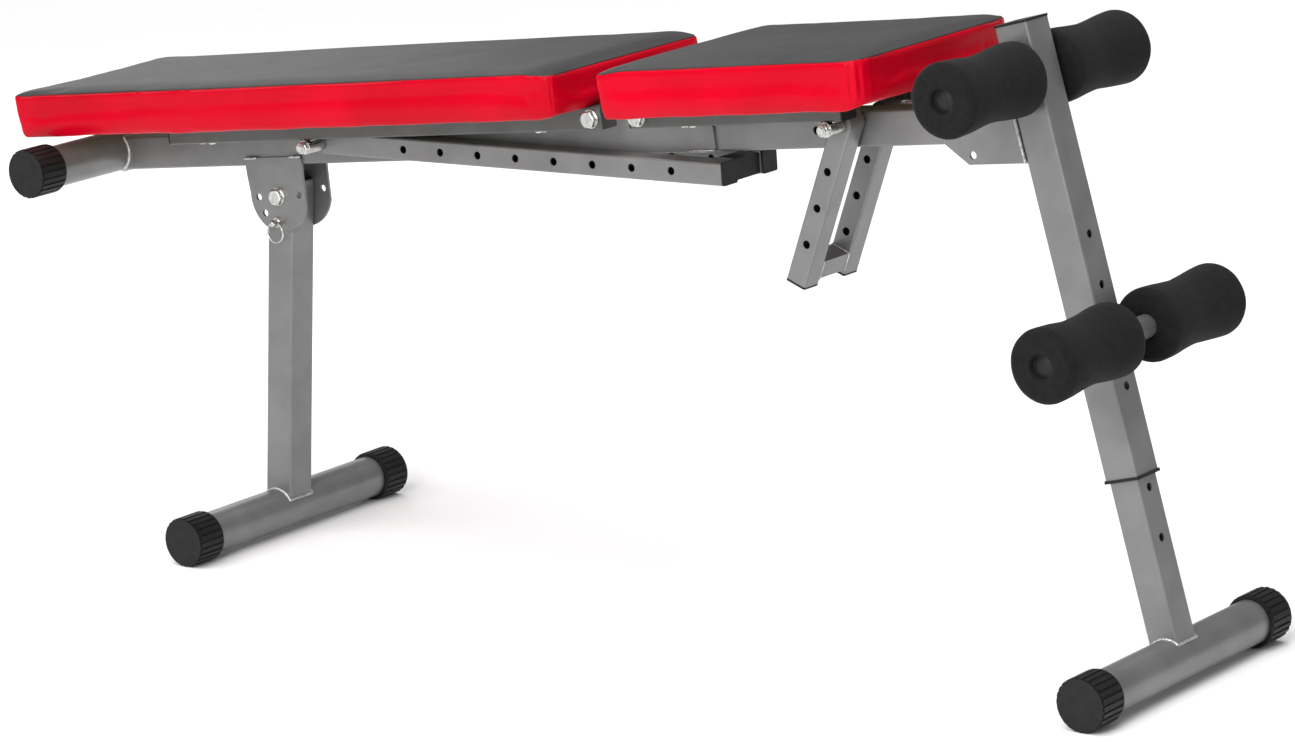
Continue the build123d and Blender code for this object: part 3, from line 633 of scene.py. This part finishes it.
# ---------------------------------------------------------------- foam rollers
def roller(name, side, place):
    """A waisted foam sleeve, turned from its outline, with the slight lumps of real foam."""
    inner, length, bore, radius, waist, edge = 27.5, 136.5, 12.9, 38.8, 34.9, 8.5
    outline = [(bore, 6.0), (bore, 1.2), (bore + 1.2, 0.2)]
    for k in range(4):
        outline.append((bore + 2.5 + k * 4.0, 0.0))
    for k in range(13):
        a = math.pi / 2 * k / 12
        outline.append((radius - edge * (1 - math.sin(a)), edge * (1 - math.cos(a))))
    for k in range(1, 24):
        y = edge + (length - 2 * edge) * k / 24
        dip = 0.5 - 0.5 * math.cos(2 * math.pi * k / 24)
        outline.append((radius - (radius - waist) * dip, y))
    outline += [(r, length - y) for r, y in reversed(outline[:20])]
    count = 112
    bm = bmesh.new()
    rings = []
    for r, y in outline:
        ring = []
        for k in range(count):
            a = 2 * math.pi * k / count
            local = Vector((r * math.cos(a), side * (inner + y), r * math.sin(a)))
            if r > bore + 3:
                lump = noise.noise(local * 0.045 + Vector((9.1 * side, 3.0, len(name)))) * 0.45
                lump += noise.noise(local * 0.16 + Vector((1.0, 7.3, side))) * 0.08
                local.x += lump * math.cos(a)
                local.z += lump * math.sin(a)
            ring.append(bm.verts.new(place @ (local * MM)))
        rings.append(ring)
    for a, b in zip(rings, rings[1:] + rings[:1]):
        for k in range(count):
            bm.faces.new((a[k], a[(k + 1) % count], b[(k + 1) % count], b[k]))
    bmesh.ops.recalc_face_normals(bm, faces=bm.faces)
    piece = from_bmesh(name + "_foam", bm, FOAM)
    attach(piece, name)
    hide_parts(name)


for side_name, side in (("left", 1), ("right", -1)):
    roller("upper_roller_" + side_name, side, POST @ Matrix.Translation((0, 0, 0.611)))
    roller("lower_roller_" + side_name, side, POST @ Matrix.Translation((0.040, 0, 0.3361)))


# ---------------------------------------------------------------- cushions
def pad_plan(span, half, head_half, radii, bow):
    """Points round a cushion's plan, counter-clockwise, millimetres."""
    u0, u1 = span
    length = u1 - u0
    taper = head_half < half

    def half_at(u):
        if not taper:
            return half
        t = min(max((u - u0 - 0.16 * length) / (0.24 * length), 0), 1)
        return head_half + (half - head_half) * t * t * (3 - 2 * t)

    points = []
    head_r, foot_r = radii
    step = 3.0

    def arc(cu, cy, r, a0, a1):
        n = max(6, int(r * abs(a1 - a0) / step))
        for k in range(n + 1):
            a = a0 + (a1 - a0) * k / n
            points.append((cu + r * math.cos(a), cy + r * math.sin(a)))

    def run(side, ua, ub):
        n = int(abs(ub - ua) / step)
        for k in range(1, n):
            u = ua + (ub - ua) * k / n
            points.append((u, side * half_at(u)))

    def end(u, ya, yb, sign):
        n = int(abs(yb - ya) / step)
        for k in range(1, n):
            y = ya + (yb - ya) * k / n
            points.append((u + sign * bow * (1 - (y / max(abs(ya), 1)) ** 2), y))

    arc(u0 + head_r, -head_half + head_r, head_r, math.pi, 1.5 * math.pi)
    run(-1, u0 + head_r, u1 - foot_r)
    arc(u1 - foot_r, -half + foot_r, foot_r, -0.5 * math.pi, 0)
    end(u1, -half + foot_r, half - foot_r, 1)
    arc(u1 - foot_r, half - foot_r, foot_r, 0, 0.5 * math.pi)
    run(1, u1 - foot_r, u0 + head_r)
    arc(u0 + head_r, head_half - head_r, head_r, 0.5 * math.pi, math.pi)
    end(u0, head_half - head_r, -head_half + head_r, 0)
    return points


def inset_ring(points, distance):
    """A closed outline moved inwards."""
    out = []
    n = len(points)
    for k in range(n):
        (ax, ay), (bx, by) = points[k - 1], points[(k + 1) % n]
        dx, dy = bx - ax, by - ay
        size = math.hypot(dx, dy) or 1
        out.append((points[k][0] - dy / size * distance, points[k][1] + dx / size * distance))
    return out


def pad_blank(name, plan, layers):
    """A closed pad from rings of its plan, with filled top and bottom."""
    bm = bmesh.new()
    rings = []
    for inset, w in layers:
        rings.append([bm.verts.new((u * MM, y * MM, w * MM)) for u, y in inset_ring(plan, inset)])
    n = len(plan)
    for a, b in zip(rings, rings[1:]):
        for k in range(n):
            bm.faces.new((a[k], a[(k + 1) % n], b[(k + 1) % n], b[k]))
    bm.faces.new(list(reversed(rings[0])))
    bm.faces.new(rings[-1])
    bmesh.ops.recalc_face_normals(bm, faces=bm.faces)
    return from_bmesh(name, bm)


def cloth_swell(piece, voxel, limit, floor_w):
    """Remesh evenly, let pressure swell the cover, and hold the underside flat."""
    remesh = piece.modifiers.new("even", "REMESH")
    remesh.mode = "VOXEL"
    remesh.voxel_size = voxel
    settled(piece)
    rest = [v.co.copy() for v in piece.data.vertices]
    held = piece.vertex_groups.new(name="held")
    for v in piece.data.vertices:
        if v.co.z < floor_w + 0.004:
            held.add([v.index], 1.0, "REPLACE")
    cloth = piece.modifiers.new("cover", "CLOTH")
    cloth.settings.use_pressure = True
    cloth.settings.uniform_pressure_force = 4.0
    cloth.settings.effector_weights.gravity = 0
    cloth.settings.vertex_group_mass = "held"
    cloth.settings.quality = 5
    cloth.point_cache.frame_start = 1
    cloth.point_cache.frame_end = 20
    for f in range(1, 21):
        bpy.context.scene.frame_set(f)
    settled(piece)
    bpy.context.scene.frame_set(1)
    for v, start in zip(piece.data.vertices, rest):
        move = v.co - start
        if move.length > limit:
            move *= limit / move.length
        lift = min(max((start.z - floor_w) / 0.012, 0), 1)
        v.co = start + move * lift
    smooth = piece.modifiers.new("ease", "SMOOTH")
    smooth.iterations = 1
    smooth.factor = 0.4
    finer = piece.modifiers.new("finer", "SUBSURF")
    finer.levels = finer.render_levels = 1
    settled(piece)


def corner_folds(piece, corners, seam_w, depth):
    """Shallow upright folds where the side band turns a corner."""
    for v in piece.data.vertices:
        if v.co.z > seam_w - 0.001 or v.co.z < PAD_BOTTOM + 0.004:
            continue
        for cu, cy, r in corners:
            off = Vector((v.co.x - cu * MM, v.co.y - cy * MM, 0))
            outward = off.x * (1 if cu > 0 else -1)
            if off.y * cy < -0.004:
                continue
            reach = abs(off.length - r * MM)
            if reach > 0.006:
                continue
            a = math.atan2(abs(off.y), off.x if cu > corners[0][0] - 1 else -off.x)
            share = math.exp(-((a - math.pi / 4) / 0.55) ** 2)
            up = (v.co.z - PAD_BOTTOM) / (seam_w - PAD_BOTTOM)
            wave = math.sin(a * 15 + 1.3 * up) * 0.6 + noise.noise(v.co * 55) * 0.9
            v.co += off.normalized() * (wave * depth * share * math.sin(math.pi * min(max(up, 0), 1)) ** 0.6)


def seam_and_finish(piece, seam_w, panel):
    """Cuts the cover at the seam, black above and red below, and at the bare board underneath."""
    bm = bmesh.new()
    bm.from_mesh(piece.data)
    u0, u1, half = (size * MM for size in panel)
    for spot, facing in (((u0, 0, 0), (1, 0, 0)), ((u1, 0, 0), (1, 0, 0)), ((0, half, 0), (0, 1, 0)),
                         ((0, -half, 0), (0, 1, 0))):
        low = [f for f in bm.faces if f.calc_center_median().z < PAD_BOTTOM + 0.004]
        parts = set(low) | {e for f in low for e in f.edges} | {v for f in low for v in f.verts}
        bmesh.ops.bisect_plane(bm, geom=list(parts), dist=1e-6, plane_co=spot, plane_no=facing)
    cut = bmesh.ops.bisect_plane(bm, geom=bm.verts[:] + bm.edges[:] + bm.faces[:], dist=1e-6,
                                 plane_co=(0, 0, seam_w), plane_no=(0, 0, 1))
    on_cut = [e for e in cut["geom_cut"] if isinstance(e, bmesh.types.BMEdge)]
    for face in bm.faces:
        middle = face.calc_center_median()
        face.material_index = 0 if middle.z > seam_w else 1
        inside = u0 < middle.x < u1 and abs(middle.y) < half
        if inside and middle.z < PAD_BOTTOM + 0.004:
            face.material_index = 2
    steps = {}
    for e in on_cut:
        a, b = e.verts
        steps.setdefault(a, []).append(b)
        steps.setdefault(b, []).append(a)
    first = max(steps, key=lambda v: v.co.x)
    path = [first]
    before = None
    while True:
        here = path[-1]
        ahead = [v for v in steps[here] if v is not before]
        if not ahead or ahead[0] is first or len(path) > 6000:
            break
        before = here
        path.append(ahead[0])
    loop = [v.co.copy() for v in path]
    for v in path:
        v.co += Vector((-v.normal.x, -v.normal.y, 0)) * 0.0007
    bm.to_mesh(piece.data)
    bm.free()
    return loop


def tidy_loop(loop, step):
    """A closed path resampled and eased."""
    even = [loop[0]]
    gone = 0.0
    for a, b in zip(loop, loop[1:] + loop[:1]):
        gone += (b - a).length
        if gone >= step:
            even.append(b)
            gone = 0.0
    n = len(even)
    for _ in range(3):
        even = [(even[k - 1] + even[k] * 2 + even[(k + 1) % n]) / 4 for k in range(n)]
    return even


def welt(name, loop, radius, lift, out, material, body):
    """A cord sewn along the seam."""
    centre = sum(loop, Vector()) / len(loop)
    path = tidy_loop(loop, 0.004)
    curve = bpy.data.curves.new(name, "CURVE")
    curve.dimensions = "3D"
    curve.bevel_depth = radius
    curve.bevel_resolution = 2
    spline = curve.splines.new("POLY")
    spline.points.add(len(path) - 1)
    n = len(path)
    for k, point in enumerate(spline.points):
        along = path[(k + 1) % n] - path[k - 1]
        away = Vector((along.y, -along.x, 0)).normalized()
        if away.dot(path[k] - centre) < 0:
            away = -away
        place = BEAM @ (path[k] + away * out + Vector((0, 0, lift)))
        point.co = (*place, 1)
    spline.use_cyclic_u = True
    holder = bpy.data.objects.new(name, curve)
    bpy.context.scene.collection.objects.link(holder)
    graph = bpy.context.evaluated_depsgraph_get()
    mesh = bpy.data.meshes.new_from_object(holder.evaluated_get(graph))
    bpy.data.objects.remove(holder)
    mesh.materials.clear()
    piece = new_object(name, mesh, material)
    mesh.shade_smooth()
    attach(piece, body)


MOUTH_REACH = 42
MOUTH_THINNING = 0.072
MOUTH_DRAW_IN = 0.0019
BETWEEN_PADS = 580


def slim_mouth(place, mouth):
    """Thins a cushion towards the end that faces the other one, so that both can tilt up."""
    t = 1 - min(abs(place.x / MM - mouth) / MOUTH_REACH, 1)
    ease = t * t * (3 - 2 * t)
    away = 1 if mouth > BETWEEN_PADS else -1
    place.z -= (place.z - PAD_BOTTOM) * MOUTH_THINNING * ease
    place.x += away * MOUTH_DRAW_IN * ease


def cushion(name, body, span, half, head_half, radii, bow, hang, node, mouth):
    """One upholstered pad: swollen cover, black top, red band, dark seam and red welt."""
    bottom = PAD_BOTTOM / MM
    top = bottom + PAD_THICKNESS / MM
    plan = pad_plan(span, half, head_half, radii, bow)
    layers = ((8.4, bottom - 0.6), (6.4, bottom + 0.2), (5.0, bottom + 2.6), (4.0, bottom + 8),
              (2.8, bottom + 17), (1.6, bottom + 28), (0.7, top - 8), (0.3, top - 1.2),
              (1.2, top + 0.3), (4.0, top + 1.0), (30.0, top + 1.7))
    piece = pad_blank(name, plan, layers)
    cloth_swell(piece, 0.0042, 0.0026, (bottom - 0.3) * MM)
    crown(piece, span, half, head_half, hang)
    foot_r = radii[1]
    corners = [(span[1] - foot_r, half - foot_r, foot_r), (span[1] - foot_r, -half + foot_r, foot_r)]
    corner_folds(piece, corners, SEAM_HEIGHT, 0.0016)
    piece.data.materials.clear()
    for material in (TOP_VINYL, RED_VINYL, PLY):
        piece.data.materials.append(material)
    inner = (span[0] + 34, span[1] - 34, head_half - 34)
    loop = seam_and_finish(piece, SEAM_HEIGHT, inner)
    for place in [v.co for v in piece.data.vertices] + loop:
        slim_mouth(place, mouth)
    piece.data.transform(BEAM)
    piece.data.shade_smooth()
    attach(piece, body)
    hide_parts(node, node.replace("pad", "board"))
    welt(name + "_seam", loop, 0.0008, 0.0002, -0.0001, SEAM, body)
    welt(name + "_welt", loop, 0.0010, -0.0018, 0.0002, WELT, body)


def crown(piece, span, half, head_half, hang):
    """A low dome over the top panel, and a wavy lower edge that rolls below the board."""
    middle = (span[0] + span[1]) / 2 * MM
    reach = (span[1] - span[0]) / 2 * MM
    for v in piece.data.vertices:
        if v.co.z > SEAM_HEIGHT - 0.0015:
            a = 1 - min(abs(v.co.x - middle) / reach, 1) ** 6
            b = 1 - min(abs(v.co.y) / (half * MM), 1) ** 4
            v.co.z += 0.0018 * max(a, 0) * max(b, 0)
            v.co.z += noise.noise(v.co * 9) * 0.0004
        elif v.co.z < PAD_BOTTOM + 0.012:
            t = (v.co.x / MM - span[0]) / (span[1] - span[0])
            width = head_half + (half - head_half) * min(max((t - 0.16) / 0.24, 0), 1)
            out = min(max((abs(v.co.y) / MM - width + 20) / 10, 0), 1)
            end = min(max((span[1] - v.co.x / MM - 4) / 26, 0), 1)
            low = 1 - max(v.co.z - PAD_BOTTOM, 0) / 0.012
            roll = out * out * (3 - 2 * out) * end * low
            wave = 1 + 0.35 * noise.noise(Vector((v.co.x * 22, v.co.y * 4, 1.7)))
            v.co.z -= hang * MM * roll * wave


BACK_SPAN = (-268.0, 553.0)
SEAT_SPAN = (611.5, 959.0)
cushion("back_cushion", "backrest", BACK_SPAN, 136.0, 128.5, (6.0, 16.0), 1.0, 3.2, "back_pad", BACK_SPAN[1])
cushion("seat_cushion", "seat", SEAT_SPAN, 142.8, 142.8, (5.0, 26.0), 3.0, 4.6, "seat_pad", SEAT_SPAN[0])

for name, body, span, half, head_half in (("back", "backrest", BACK_SPAN, 133.5, 124.5),
                                          ("seat", "seat", SEAT_SPAN, 140.4, 140.4)):
    edge = pad_plan(span, half, head_half, (24.0, 24.0), 0.0)
    path = [(u, y, PAD_BOTTOM / MM - 0.7) for u, y in inset_ring(edge, 22.0)]
    path.append(path[0])
    along_paths(name + "_staples", STAPLES, body, [line(BEAM, *path)], "zinc")
